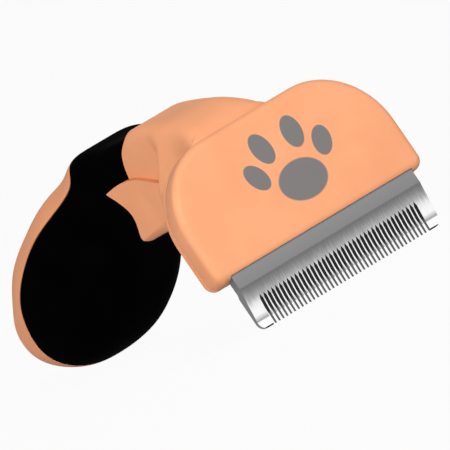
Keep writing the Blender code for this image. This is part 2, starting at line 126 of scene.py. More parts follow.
def patchMesh(name, patches):
    # one mesh from grids of points (rows, columns, xyz), and how many faces each grid has
    starts = np.cumsum([0] + [patch.shape[0] * patch.shape[1] for patch in patches[:-1]])
    faces = [gridFaces(*patch.shape[:2], start) for patch, start in zip(patches, starts)]
    points = np.concatenate([patch.reshape(-1, 3) for patch in patches])
    mesh = bpy.data.meshes.new(name)
    mesh.from_pydata(toModel(points).tolist(), [], np.concatenate(faces).tolist())
    return mesh, [len(part) for part in faces]


def weld(mesh, dropSlivers):
    # merge the grids along their shared edges, turn the faces outward and count the edges left open
    work = bmesh.new()
    work.from_mesh(mesh)
    bmesh.ops.remove_doubles(work, verts=work.verts, dist=weldReach)
    if dropSlivers:
        bmesh.ops.dissolve_degenerate(work, edges=work.edges, dist=sliverLength)
    bmesh.ops.recalc_face_normals(work, faces=work.faces)
    openEdges = sum(1 for edge in work.edges if len(edge.link_faces) != 2)
    work.to_mesh(mesh)
    work.free()
    return openEdges


def addObject(name, data):
    thing = bpy.data.objects.new(name, data)
    scene.collection.objects.link(thing)
    return thing


def finishMesh(name, mesh, coat, nodes, sharp=crease):
    # close a mesh, coat it, hang it under the root body and hide the CAD nodes it stands in for
    openEdges = weld(mesh, True)
    mesh.shade_smooth()
    mesh.set_sharp_from_angle(angle=math.radians(sharp))
    mesh.materials.append(coat)
    piece = addObject(name, mesh)
    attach(piece, "root")
    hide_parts(*nodes)
    print("piece", name, len(mesh.polygons), "faces,", openEdges, "open edges")


def skin(name, patches, coat, nodes):
    mesh, counts = patchMesh(name, patches)
    finishMesh(name, mesh, coat, nodes)


def helperObject(name, patches):
    # a closed body for Booleans only
    mesh, counts = patchMesh(name, patches)
    weld(mesh, False)
    return addObject(name, mesh)


def combine(base, others):
    # apply Booleans in turn, then throw the helpers away
    for other, operation in others:
        step = base.modifiers.new("step", "BOOLEAN")
        step.operation = operation
        step.solver = "EXACT"
        step.object = other
    bpy.context.view_layer.update()
    mesh = bpy.data.meshes.new_from_object(base.evaluated_get(bpy.context.evaluated_depsgraph_get()))
    for thing in [base] + [other for other, operation in others]:
        bpy.data.objects.remove(thing)
    return mesh


def rodPatches(x, z, radius, start, end, steps=48):
    # closed round bar along Y: a circle that grows from its middle, runs along and shrinks again
    turn = np.linspace(0, 2 * np.pi, steps + 1)
    reach = np.array(((0.0, start), (radius, start), (radius, end), (0.0, end)))
    ring = np.stack((np.cos(turn), np.zeros(steps + 1), np.sin(turn)), axis=1)
    return [np.array((x, 0.0, z)) + ring[None] * reach[:, :1, None] + (0, 1, 0) * reach[:, 1:, None]]


def blockPatches(low, high):
    # closed box from corner to corner: a square that grows from its middle, rises and shrinks again
    low = np.array(low)
    square = np.array(((0, 0), (1, 0), (1, 1), (0, 1), (0, 0)))
    level = np.array((0.0, 0.0, 1.0, 1.0))
    spread = np.array((0.0, 1.0, 1.0, 0.0))
    flat = 0.5 + (square[None] - 0.5) * spread[:, None, None]
    share = np.concatenate((flat, np.repeat(level[:, None, None], len(square), axis=1)), axis=2)
    return [low + (np.array(high) - low) * share]


def mirrored(patch):
    # the same grid on the other side of the tool
    return patch * np.array((-1.0, 1.0, 1.0))


def across(line):
    # flat strip along X between a line of points and its mirror image
    sides = line[None, :, :1] * stripShares[:, None, None]
    return np.concatenate((sides, np.repeat(line[None, :, 1:], len(stripShares), axis=0)), axis=2)


class Wiring:
    # shorthand for adding and joining the nodes of a material or of the world
    noiseSpan = (0.3, 0.7)  # most of a noise lies between these

    def __init__(self, tree):
        self.tree = tree

    def add(self, kind, inputs=None, **settings):
        node = self.tree.nodes.new(kind)
        for key, value in settings.items():
            setattr(node, key, value)
        for key, value in (inputs or {}).items():
            if isinstance(value, bpy.types.NodeSocket):
                self.tree.links.new(value, node.inputs[key])
            else:
                node.inputs[key].default_value = value
        return node

    def math(self, operation, a, b=0.0):
        return self.add("ShaderNodeMath", {0: a, 1: b}, operation=operation).outputs[0]

    def span(self, value, low, high, outLow=0.0, outHigh=1.0):
        node = self.add("ShaderNodeMapRange", {"Value": value, "From Min": low, "From Max": high,
                                               "To Min": outLow, "To Max": outHigh})
        return node.outputs["Result"]

    def mix(self, share, first, second):
        # of the node's many sockets, inputs 6 and 7 and output 2 are the colours
        node = self.add("ShaderNodeMix", {0: share}, data_type="RGBA")
        for index, colour in ((6, first), (7, second)):
            if isinstance(colour, bpy.types.NodeSocket):
                self.tree.links.new(colour, node.inputs[index])
            else:
                node.inputs[index].default_value = (*colour, 1.0)
        return node.outputs[2]

    def noise(self, where, scale, detail=3.0, stretch=(1.0, 1.0, 1.0)):
        wide = self.add("ShaderNodeMapping", {"Vector": where, "Scale": stretch}).outputs[0]
        node = self.add("ShaderNodeTexNoise", {"Vector": wide, "Scale": scale, "Detail": detail})
        return node.outputs["Fac"]

    def noiseLevel(self, noise, low, high):
        return self.span(noise, *self.noiseSpan, low, high)

    def seenDirectly(self):
        # 1 for rays from the camera, mirror rays and rays through glass, otherwise 0
        path = self.add("ShaderNodeLightPath").outputs
        seen = self.math("MAXIMUM", path["Is Camera Ray"], path["Is Glossy Ray"])
        return self.math("MAXIMUM", seen, path["Is Transmission Ray"])


class Coat(Wiring):
    # a material and its main shader
    def __init__(self, name):
        self.material = bpy.data.materials.new(name)
        self.material.use_nodes = True
        super().__init__(self.material.node_tree)
        self.shader = self.tree.nodes["Principled BSDF"]

    def link(self, socket, key):
        self.tree.links.new(socket, self.shader.inputs[key])

    def put(self, value, key):
        self.shader.inputs[key].default_value = value

    def toolSpace(self):
        # Object coordinates turned back into the tool's frame, still in metres
        where = self.add("ShaderNodeTexCoord").outputs["Object"]
        turned = {"Vector": where, "Location": leanShift.tolist(), "Rotation": (-lean, 0.0, 0.0)}
        return self.add("ShaderNodeMapping", turned, vector_type="TEXTURE").outputs[0]

    def bump(self, height, strength, distance):
        node = self.add("ShaderNodeBump", {"Height": height, "Strength": strength, "Distance": distance})
        self.link(node.outputs[0], "Normal")


# noises are given by their scale, roughness by its range, bumps by their strength and depth in metres
plasticLook = {"colour": (0.930, 0.405, 0.205), "deep": (0.880, 0.365, 0.180), "cloud": 60.0,
               "cloudSpan": (0.35, 0.7), "roughness": (0.53, 0.64), "shine": 0.1, "grain": 2600.0,
               "bump": (0.25, 0.00003), "detail": 2.0, "ink": (0.196, 0.188, 0.184)}


def plasticMaterial(name, printed):
    made = Coat(name)
    where = made.toolSpace()
    cloud = made.noise(where, plasticLook["cloud"], plasticLook["detail"])
    share = made.span(cloud, *plasticLook["cloudSpan"])
    colour = made.mix(share, plasticLook["colour"], plasticLook["deep"])
    if printed:
        colour = made.mix(pawPrint(made, where), colour, plasticLook["ink"])
    made.link(colour, "Base Color")
    grain = made.noise(where, plasticLook["grain"], plasticLook["detail"])
    made.link(made.noiseLevel(grain, *plasticLook["roughness"]), "Roughness")
    made.put(plasticLook["shine"], "Specular IOR Level")
    made.bump(grain, *plasticLook["bump"])
    return made.material


# middle x and z, half width, half height and lean of each oval; soft is the edge's share of its reach
pawSpots = {"pad": (2.6, 12.6, 8.0, 5.8, 0.0),
            "toes": ((-9.4, 19.2, 3.0, 4.4, 0.42), (-3.0, 25.4, 3.2, 4.8, 0.14),
                     (8.2, 25.4, 3.2, 4.8, -0.14), (14.6, 19.2, 3.0, 4.4, -0.42)),
            "soft": 0.03}


def pawPrint(made, where):
    # a plain paw: one wide oval and four leaning ones, in millimetres on the head's face
    mask = 0.0
    for x, z, wide, tall, turn in (pawSpots["pad"],) + pawSpots["toes"]:
        oval = {"Vector": where, "Location": (x * mm, 0.0, z * mm), "Rotation": (0.0, -turn, 0.0),
                "Scale": (wide * mm, 1.0, tall * mm)}
        spot = made.add("ShaderNodeMapping", oval, vector_type="TEXTURE").outputs[0]
        reach = made.add("ShaderNodeVectorMath", {0: spot}, operation="LENGTH").outputs["Value"]
        inside = made.span(reach, 1.0 + pawSpots["soft"], 1.0 - pawSpots["soft"])
        mask = made.math("MAXIMUM", mask, inside)
    return mask


rubberLook = {"colour": (0.0005, 0.0005, 0.0005), "pale": (0.0011, 0.0011, 0.0011), "cloud": 90.0,
              "grain": 1800.0, "roughness": (0.62, 0.76), "shine": 0.001, "bump": (0.35, 0.00006)}


def rubberMaterial():
    made = Coat("blackRubber")
    where = made.toolSpace()
    grain = made.noise(where, rubberLook["grain"])
    cloud = made.noiseLevel(made.noise(where, rubberLook["cloud"]), 0.0, 1.0)
    made.link(made.mix(cloud, rubberLook["colour"], rubberLook["pale"]), "Base Color")
    made.link(made.noiseLevel(grain, *rubberLook["roughness"]), "Roughness")
    made.put(rubberLook["shine"], "Specular IOR Level")
    made.bump(grain, *rubberLook["bump"])
    return made.material


blade = {"length": 67.0, "landLow": -4.3, "tip": -16.8, "tipBand": 0.35, "corner": 2.5, "slots": 41,
         "pitch": 1.43, "slotShare": 0.76, "root": -7.9, "pointed": 1.25, "narrowing": 0.06, "crease": 24.0,
         "rows": 60, "pointRows": 7, "cornerRows": 12, "columns": (0.0, 0.03, 0.5, 0.97, 1.0),
         "marks": {"ground": 0.0, "end": 0.5, "slot": 1.0, "tip": 2.0}}
# height in millimetres and painted brightness of the steel from the head down to the tips, painted
# reflection and shade:
# a painted dark band under the land, a painted dark line above the tip band; the slots' walls are painted
# shadow, black above the wall turn, and a painted lit grey below it; streaks fray the painted bands' edges
# down to frayEnd
steelLook = {"paintedShades": ((-4.0, 0.21), (-4.35, 0.16), (-6.2, 0.25), (-8.0, 0.42), (-9.6, 0.78), (-11.0, 0.9),
                        (-12.6, 0.9), (-14.2, 0.34), (-14.4, 0.9), (-16.8, 0.9)),
             # end and tip: painted shade on the blade's end faces, painted dark reflection on the outer
             # teeth's tip band
             "end": 0.19, "tip": 0.01, "slotShadowBlack": 0.002, "slotLitGrey": 0.12, "slotShadowTurn": -13.4,
             "wallSoft": 0.5, "landSoft": 0.1, "streaks": (4200.0, 420.0, 230.0), "detail": 4.0,
             "fray": 0.8, "frayEnd": (-13.0, -11.5), "blue": 1.01, "roughness": (0.28, 0.42),
             "landRougher": 0.2, "bump": (0.12, 0.00003)}


def grey(level):
    return (level,) * 3


def steelPaintedShades(made, height):
    # painted brightness over the height, painted reflection and shade, from a ramp with one stop for each
    # shade
    paintedShades = steelLook["paintedShades"]
    first = paintedShades[0][0]
    last = paintedShades[-1][0]
    ramp = made.add("ShaderNodeValToRGB", {"Fac": made.span(height, first, last)})
    while len(ramp.color_ramp.elements) < len(paintedShades):
        ramp.color_ramp.elements.new(0.5)
    for stop, (level, shade) in zip(ramp.color_ramp.elements, paintedShades):
        stop.position = (level - first) / (last - first)
        stop.color = (shade, shade, shade * steelLook["blue"], 1.0)
    return ramp.outputs["Color"]


def bladeMaterial():
    made = Coat("groundSteel")
    where = made.toolSpace()
    height = made.math("DIVIDE", made.add("ShaderNodeSeparateXYZ", {0: where}).outputs["Z"], mm)
    grain = made.noise(where, 1.0, steelLook["detail"], steelLook["streaks"])
    landSoft = steelLook["landSoft"]
    ground = made.span(height, blade["landLow"] + landSoft, blade["landLow"] - landSoft)
    # brushed streaks run across the painted bands of reflection and shade, so each band's edge frays along
    # them
    fray = made.math("MULTIPLY", ground, made.span(height, *steelLook["frayEnd"]))
    streak = made.noiseLevel(grain, -steelLook["fray"], steelLook["fray"])
    colour = steelPaintedShades(made, made.math("ADD", height, made.math("MULTIPLY", streak, fray)))
    # painted shadow on the slots' walls, black above the turn, and a painted lit grey below it
    wallSoft = steelLook["wallSoft"]
    deep = made.span(height, steelLook["slotShadowTurn"] - wallSoft, steelLook["slotShadowTurn"] + wallSoft)
    wall = made.mix(deep, grey(steelLook["slotLitGrey"]), grey(steelLook["slotShadowBlack"]))
    # ends, slot walls and tips each take over from the kind of face that is marked before them: painted
    # shade on the ends, painted shadow and painted lit grey on the slot walls, a painted dark reflection on
    # the outer teeth's tips
    mark = made.add("ShaderNodeAttribute", attribute_name="slotWall").outputs["Fac"]
    levels = list(blade["marks"].values())
    paintedShades = (grey(steelLook["end"]), wall, grey(steelLook["tip"]))
    for before, level, shade in zip(levels, levels[1:], paintedShades):
        colour = made.mix(made.math("GREATER_THAN", mark, (before + level) / 2), colour, shade)
    made.link(colour, "Base Color")
    made.put(1.0, "Metallic")
    rough = made.noiseLevel(grain, *steelLook["roughness"])
    rougher = made.span(ground, 0.0, 1.0, steelLook["landRougher"], 0.0)
    made.link(made.math("ADD", rough, rougher), "Roughness")
    made.bump(made.math("MULTIPLY", grain, ground), *steelLook["bump"])
    return made.material


zincLook = {"colour": (0.50, 0.51, 0.53), "pale": (0.66, 0.66, 0.66), "cloud": 900.0,
            "roughness": (0.28, 0.45)}


def screwMaterial():
    made = Coat("zincPlate")
    cloud = made.noise(made.toolSpace(), zincLook["cloud"])
    made.link(made.mix(cloud, zincLook["colour"], zincLook["pale"]), "Base Color")
    made.put(1.0, "Metallic")
    made.link(made.noiseLevel(cloud, *zincLook["roughness"]), "Roughness")
    return made.material


nylonLook = {"colour": (0.16, 0.16, 0.165), "pale": (0.21, 0.21, 0.215), "grain": 1500.0,
             "roughness": (0.45, 0.6), "bump": (0.2, 0.00004)}


def nylonMaterial():
    made = Coat("greyNylon")
    grain = made.noise(made.toolSpace(), nylonLook["grain"])
    made.link(made.mix(grain, nylonLook["colour"], nylonLook["pale"]), "Base Color")
    made.link(made.noiseLevel(grain, *nylonLook["roughness"]), "Roughness")
    made.bump(grain, *nylonLook["bump"])
    return made.material


plainPlastic = plasticMaterial("orangePlastic", False)
printedPlastic = plasticMaterial("orangePlasticPrinted", True)
blackRubber = rubberMaterial()
groundSteel = bladeMaterial()
zincPlate = screwMaterial()
greyNylon = nylonMaterial()
print("materials made")

head = {"width": 77.0, "low": -0.8, "high": 36.2, "front": -1.0, "back": 10.4, "topRadius": 22.0,
        "footRadius": 3.2, "leastRadius": 0.35, "edge": 2.4, "seamEdge": 0.3, "draft": 1.5, "wall": 2.2,
        "backWall": 3.45, "gap": 0.3, "rim": 3.7, "rimEdge": 0.2, "plateRim": 3.4, "edgeRows": 12,
        "straightSteps": 10, "arcSteps": 26, "fillRows": 9}


def headRing(inset, y):
    # outline of the head pulled in by inset: four arcs joined by straight runs, drafted towards the back
    half = head["width"] / 2 - inset
    low = head["low"] + inset
    high = head["high"] - inset
    foot = max(head["footRadius"] - inset, head["leastRadius"])
    top = max(head["topRadius"] - inset, head["leastRadius"])
    corners = ((half - foot, low + foot, foot, -90.0), (half - top, high - top, top, 0.0),
               (-half + top, high - top, top, 90.0), (-half + foot, low + foot, foot, 180.0))
    arcs = []
    for x, z, radius, start in corners:
        turn = np.radians(np.linspace(start, start + 90.0, head["arcSteps"]))
        arcs.append(np.stack((x + radius * np.cos(turn), z + radius * np.sin(turn)), axis=1))
    share = np.linspace(0, 1, head["straightSteps"] + 2)[1:-1, None]
    runs = []
    for arc, following in zip(arcs, arcs[1:] + arcs[:1]):
        runs += [arc, arc[-1] + (following[0] - arc[-1]) * share]
    ring = np.concatenate(runs + [arcs[0][:1]])
    slant = 1 - (y - head["front"]) / (head["back"] - head["front"]) * head["draft"] / (head["width"] / 2)
    return np.stack((ring[:, 0] * slant, np.full(len(ring), y), ring[:, 1]), axis=1)


def toMiddle(ring):
    # fill a ring by shrinking it onto the middle of the head's face
    middle = faceSpot * (1, 0, 1)
    share = np.linspace(0, 1, head["fillRows"])[:, None, None]
    filled = middle + ((ring * (1, 0, 1))[None] - middle) * share
    filled[:, :, 1] = ring[0, 1]
    return filled


def headBody(name, rows):
    # closed body from the head's outline at each (inset, y) row, with both ends filled
    rings = np.stack([headRing(inset, y) for inset, y in rows])
    return helperObject(name, [toMiddle(rings[0]), rings, toMiddle(rings[-1])])


def roundRows(start, way):
    # quarter circle from the head's face at start to its wall: (inset, y) pairs
    turn = np.radians(np.linspace(0, 90, head["edgeRows"]))
    edge = head["edge"]
    return np.stack((edge * (1 - np.sin(turn)), start + way * edge * (1 - np.cos(turn))), axis=1)


def seamRows(end, way):
    # small round edge from the head's wall to the seam at end: (inset, y) pairs
    edge = head["seamEdge"]
    middle = 0.3 * edge  # about what a quarter circle leaves at half its turn
    return ((0.0, end - way * edge), (middle, end - way * middle), (edge, end))


bladeRoom = {"half": 33.7, "front": -0.5, "back": 3.0, "low": -3.0, "high": 3.0}


def makeHeadCover():
    # rows run over the face, down the wall, round the seam and back into the hollow
    end = head["back"] - head["backWall"] - head["gap"] / 2
    rim = head["rim"]
    edge = head["rimEdge"]
    rimRows = ((rim - edge, end), (rim, end - edge), (rim, head["front"] + head["wall"]))
    body = headBody("coverBody", np.concatenate((roundRows(head["front"], 1), seamRows(end, 1), rimRows)))
    corners = [(way * bladeRoom["half"], bladeRoom[near], bladeRoom[level])
               for way, near, level in ((-1, "front", "low"), (1, "back", "high"))]
    room = helperObject("slotBody", blockPatches(*corners))
    finishMesh("headCover", combine(body, [(room, "DIFFERENCE")]), printedPlastic,
               ["head_cover"])


makeHeadCover()

# front and back of the steel from the top down: height, front, back
bladeProfile = np.array((
    (15.0, 1.8, 4.4), (2.7, 1.8, 4.4), (1.52, 1.8, 2.7), (1.5, 0.0, 2.7), (blade["landLow"], 0.0, 2.7),
    (-5.2, 0.25, 2.7), (-6.2, 0.5, 3.25), (-14.4, 2.2, 3.4), (blade["tip"], 2.5, 3.5)))


def bladeHeights():
    # rows of the steel's grid from the top down, crowded at the slots' points and at the round corners
    tip = blade["tip"]
    root = blade["root"]
    quarter = np.radians(np.linspace(0, 90, blade["cornerRows"]))
    heights = (bladeProfile[:, 0], np.linspace(blade["landLow"], tip, blade["rows"]),
               np.linspace(root, root - blade["pointed"], blade["pointRows"]),
               tip + blade["corner"] * (1 - np.cos(quarter)))
    return np.unique(np.round(np.concatenate(heights), 4))[::-1]  # rounded, so that equal rows are one


def bladePatches():
    # each tooth is a strip of steel between two slots, whose half width grows from 0 at the root; the outer
    # sides of the first and last strip end in a quarter circle
    fine = bladeHeights()
    table = bladeProfile[::-1]
    front = np.interp(fine, table[:, 0], table[:, 1])
    back = np.interp(fine, table[:, 0], table[:, 2])
    root = blade["root"]
    down = np.clip((fine - root) / (blade["tip"] - root), 0, 1)
    gapHalf = blade["pitch"] * blade["slotShare"] / 2 * np.clip((root - fine) / blade["pointed"], 0, 1)
    gapHalf *= 1 - blade["narrowing"] * (1 - down)
    corner = blade["corner"]
    rise = np.clip(corner - (fine - blade["tip"]), 0, corner)
    outer = blade["length"] / 2 - corner + np.sqrt(corner ** 2 - rise ** 2)
    last = blade["slots"]
    slotX = (np.arange(last) - (last - 1) / 2)[:, None] * blade["pitch"]
    left = np.concatenate((-outer[None], slotX + gapHalf))
    right = np.concatenate((slotX - gapHalf, outer[None]))
    band = np.argmin(np.abs(fine - blade["tip"] - blade["tipBand"]))
    inSlot = fine <= root
    kind = blade["marks"]
    patches = []
    marks = []
    for k in range(last + 1):
        x = left[k][:, None] + (right[k] - left[k])[:, None] * np.array(blade["columns"])
        faceFront, faceBack = [np.stack(np.broadcast_arrays(x, y[:, None], fine[:, None]), axis=-1)
                               for y in (front, back)]
        # the tip band and underside of the two outer teeth are marked for a painted dark reflection
        foot = kind["tip"] if k in (0, last) else kind["ground"]
        patches += [faceFront[:band + 1], faceFront[band:], faceBack,
                    np.stack((faceFront[-1], faceBack[-1])), np.stack((faceFront[0], faceBack[0]))]
        marks += [kind["ground"], foot, kind["ground"], foot, kind["ground"]]
        # outer sides of the end teeth are marked for painted shade, slot sides for painted shadow
        for side, outerTooth in ((0, 0), (-1, last)):
            rows = slice(None) if k == outerTooth else inSlot
            patches.append(np.stack((faceFront[rows, side], faceBack[rows, side]), axis=1))
            marks.append(kind["end"] if k == outerTooth else kind["slot"])
    return patches, marks


def makeBlade():
    # the marks tell the steel's material which faces are ground, ends, slot walls or tips
    patches, marks = bladePatches()
    mesh, counts = patchMesh("toothedBlade", patches)
    values = np.repeat(np.asarray(marks, np.float32), counts)
    mesh.attributes.new("slotWall", "FLOAT", "FACE").data.foreach_set("value", values)
    finishMesh("toothedBlade", mesh, groundSteel, ["blade"], blade["crease"])


makeBlade()

# swell: how far the strips inside the grip bulge, which way, and between which places
grip = {"gap": 0.3, "tipY": 145.5, "swell": 1.5, "swellFade": 3.0, "spineWay": (0.0, -0.8, -0.6),
        "spineFrom": 68.0, "spineLow": 14.0, "spineHigh": 58.8, "neckWay": (0.0, -1.0, 0.0),
        "restLow": 27.5, "restHigh": 43.5, "partingSamples": 400, "edgeSamples": 60}
# y, underside, top, half width, squareness
gripTable = np.array((
    (40.0, 24.0, 52.5, 11.0, 6.0), (50.0, 26.0, 54.0, 11.5, 6.0), (60.0, 27.0, 56.0, 12.5, 6.0),
    (66.0, 27.0, 58.0, 13.0, 6.5), (70.0, 26.0, 59.0, 13.0, 6.0), (80.0, 23.0, 58.0, 14.0, 4.0),
    (94.0, 18.0, 57.0, 18.0, 3.0), (108.0, 13.5, 55.0, 21.0, 2.5), (118.0, 12.5, 52.0, 21.5, 2.5),
    (128.0, 13.5, 47.5, 20.0, 2.2), (138.0, 18.5, 41.5, 15.5, 2.2), (grip["tipY"], 30.0, 30.0, 0.0, 2.0)))


def gripRow(y):
    # underside, top, half width and squareness at y; taken over the root of the way left to the butt's
    # end, which closes it with a round nose
    left = -np.sqrt(np.maximum(grip["tipY"] - y, 0.0))
    rows = -np.sqrt(grip["tipY"] - gripTable[:, 0])
    low, high, half, power = [smoothRow(rows, gripTable[:, k], left) for k in (1, 2, 3, 4)]
    return low, np.maximum(high, low), np.maximum(half, 0.0), power


def gripWidth(y, z):
    # half width of the grip at a point of its side view: a superellipse in every cross-section
    low, high, half, power = gripRow(y)
    tall = np.maximum((high - low) / 2, 1e-6)  # never quite 0, as it divides
    offset = np.clip(np.abs((z - (low + high) / 2) / tall), 0.0, 1.0)
    return half * np.clip(1 - offset ** power, 0.0, 1.0) ** (1 / power)


def contour(start, end, side, samples):
    # outer line of the side view, on its top or its underside
    y = np.linspace(start, end, samples)
    low, high, half, power = gripRow(y)
    return np.stack((y, high if side == "top" else low), axis=1)


partingPoints = ((72.0, 60.0), (72.5, 55.5), (74.5, 52.5), (85.0, 51.0), (100.0, 48.5), (112.0, 43.0),
                 (121.0, 36.0), (125.0, 26.0), (127.0, 17.0), (124.0, 12.5))
parting = bSpline(partingPoints, grip["partingSamples"])


def sideStep(line, distance):
    # the line moved to the left of its run
    run = np.gradient(line, axis=0)
    run /= np.linalg.norm(run, axis=1)[:, None]
    return line + np.stack((-run[:, 1], run[:, 0]), axis=1) * distance


def ontoSide(flat):
    # keep points inside the side view, so that the width is 0 on its outer line and the halves meet
    low, high, half, power = gripRow(flat[..., 0])
    return np.stack((flat[..., 0], np.clip(flat[..., 1], low, high)), axis=-1)


def lift(flat):
    # points of the side view raised to the grip's surface
    return np.concatenate((gripWidth(flat[..., 0], flat[..., 1])[..., None], flat), axis=-1)


def swollen(line, way, inside):
    # strip across the grip that bulges in its middle, fully from swellFade inside its room: neighbours nest,
    # so that no slit runs straight through
    full = np.clip(inside / grip["swellFade"], 0.0, 1.0)
    amount = grip["swell"] * (1 - stripShares[:, None] ** 2) * full
    return across(line) + amount[..., None] * np.array(way)


def spineSwell(line):
    # only away from the parting line's ends and from the neck's seam
    x, y, z = line.T
    inside = np.min((x, y - grip["spineFrom"], z - grip["spineLow"], grip["spineHigh"] - z), axis=0)
    return swollen(line, grip["spineWay"], inside)


def neckSwell(line):
    # only between the finger rest's lower and upper corner
    inside = np.minimum(line[:, 2] - grip["restLow"], grip["restHigh"] - line[:, 2])
    return swollen(line, grip["neckWay"], inside)


spine = {"rows": 190, "columns": 40, "topSamples": 700, "underSamples": 500}


def spinePatches():
    # band between the parting line and the outer line, crowded towards the middle plane
    inner = ontoSide(sideStep(parting, grip["gap"] / 2))
    top = contour(inner[0, 0], grip["tipY"], "top", spine["topSamples"])
    under = contour(grip["tipY"], inner[-1, 0], "under", spine["underSamples"])
    shares = np.linspace(0, 1, spine["rows"])
    inner = alongLine(inner, shares)
    outer = alongLine(np.concatenate((top, under[1:])), shares)
    flat = inner[:, None] + (outer - inner)[:, None] * easeOut(spine["columns"])[None, :, None]
    band = lift(ontoSide(flat))
    band[:, -1, 0] = 0.0
    return [band, mirrored(band), spineSwell(band[:, 0]), across(band[0]), across(band[-1])]


# back edge of the neck in the side view: over the top and down its wall, then down the finger rest
seamLine = np.array(((41.0, 57.0), (41.0, 53.0), (44.0, 51.0), (47.5, 48.5), (49.0, 45.5), (50.0, 43.0)))
finLine = np.array(((59.5, 44.0), (57.5, 41.0), (55.5, 37.5), (55.0, 34.5), (56.0, 31.5), (58.0, 28.5),
                    (57.5, 26.5)))
sleeve = {"columns": 220, "rows": 90, "topSamples": 200, "underSamples": 260, "bendShare": 0.16,
          "touch": 1e-3}


def evenCurve(points):
    # B-spline over a table's points, at even steps of its length and moved back and up by the gap
    count = grip["edgeSamples"]
    return alongLine(bSpline(points, count), np.linspace(0, 1, count)) + grip["gap"]


def sleevePatches():
    # area between a lower and an upper line of the side view, crowded towards both, raised to the surface
    inner = ontoSide(sideStep(parting, -grip["gap"] / 2))
    turn = int(np.argmax(inner[:, 0]))
    seam = evenCurve(seamLine)
    seam = seam[seam[:, 1] < gripRow(seam[:, 0])[1]]
    topLine = contour(seam[0, 0], inner[0, 0], "top", sleeve["topSamples"])
    topLine[0] = seam[0]
    underLine = contour(finLine[-1, 0] + grip["gap"], inner[-1, 0], "under", sleeve["underSamples"])
    front = np.concatenate((seam, evenCurve(finLine)))
    front[-1] = underLine[0]
    steps = np.linspace(0, 1, sleeve["columns"])
    upper = alongLine(np.concatenate((topLine, inner[:turn + 1])), steps)
    lower = alongLine(np.concatenate((underLine, inner[:turn - 1:-1])), steps)
    share = (1 - np.cos(np.linspace(0, np.pi, sleeve["rows"]))) / 2
    flat = lower[:, None] + (upper - lower)[:, None] * share[None, :, None]
    # the first columns bend from the neck's seam into straight lines
    line = alongLine(front[::-1], share)
    fade = np.clip(1 - steps / sleeve["bendShare"], 0, 1)[:, None, None] ** 2
    flat = flat + (line - flat[0])[None] * fade
    flat[0] = line
    patch = lift(ontoSide(flat))
    # where a border lies on the outer line, the two halves meet in the middle plane
    patch[upper[:, 1] > gripRow(upper[:, 0])[1] - sleeve["touch"], -1, 0] = 0.0
    patch[lower[:, 1] < gripRow(lower[:, 0])[0] + sleeve["touch"], 0, 0] = 0.0
    return [patch, mirrored(patch), neckSwell(patch[0]), spineSwell(patch[:, -1]), spineSwell(patch[:, 0])]


skin("spineShell", spinePatches(), plainPlastic, ["spine_shell"])
skin("gripSleeve", sleevePatches(), blackRubber, ["grip_sleeve"])

# y, underside, half width there, half width of the flank, top
neckTable = np.array((
    (8.0, 12.5, 7.5, 15.0, 36.5), (10.0, 13.0, 8.0, 15.0, 39.5), (14.0, 14.5, 8.5, 14.0, 43.5),
    (22.0, 17.0, 10.0, 13.0, 48.0), (30.0, 19.5, 11.0, 14.5, 50.5), (38.0, 22.0, 12.0, 15.5, 53.0),
    (46.0, 24.5, 12.5, 15.5, 54.0), (62.0, 27.0, 13.0, 15.5, 54.0)))
# y and height of the finger rest's upper edge, then height and y of the ridge in front of the scoop
lipTable = np.array(((8.0, 24.0), (22.0, 31.0), (36.0, 36.5), (46.0, 42.0), (54.0, 44.0), (62.0, 44.0)))
ridgeTable = np.array(((24.0, 46.0), (28.0, 42.0), (33.0, 36.5), (36.0, 33.0), (40.0, 29.0), (47.0, 24.5),
                       (58.0, 22.0)))
neck = {"start": 8.0, "archPower": 4.2, "springDrop": 2.0, "wall": 11.6, "shoulder": 4.6, "rest": 13.2,
        "restFlare": 1.4, "flareFrom": 46.0, "flareRun": 14.0, "scoopRise": 0.05, "footRound": 2.2,
        "footTurn": 27.6, "footSlope": 0.8, "ridge": 2.0, "ridgeTop": 8.0, "ridgeFrom": 40.0,
        "ridgeRun": 8.0, "fillet": 1.0, "upperRows": 70, "ledgeRow": 0.005, "lowerRows": 50,
        "columns": 150, "restColumns": 40, "edgeSamples": 120, "tries": 40, "upperGuess": 46.0,
        "lowerGuess": 60.0}


def rounded(distance, radius):
    # how far a rounded corner has drawn in, at a distance from the face that it meets
    t = np.clip(1 - distance / radius, 0.0, 1.0)
    return radius * (1 - np.sqrt(1 - t * t))


def neckLevels(y):
    # underside, its half width, the flank's half width, top and lip at y, with a fillet against the head
    low, foot, flank, top = [smoothRow(neckTable[:, 0], neckTable[:, k], y) for k in (1, 2, 3, 4)]
    swell = rounded(np.maximum(y - head["back"], 0.0), neck["fillet"])
    lip = smoothRow(lipTable[:, 0], lipTable[:, 1], y)
    return low - swell, foot + swell, flank + swell, top, lip


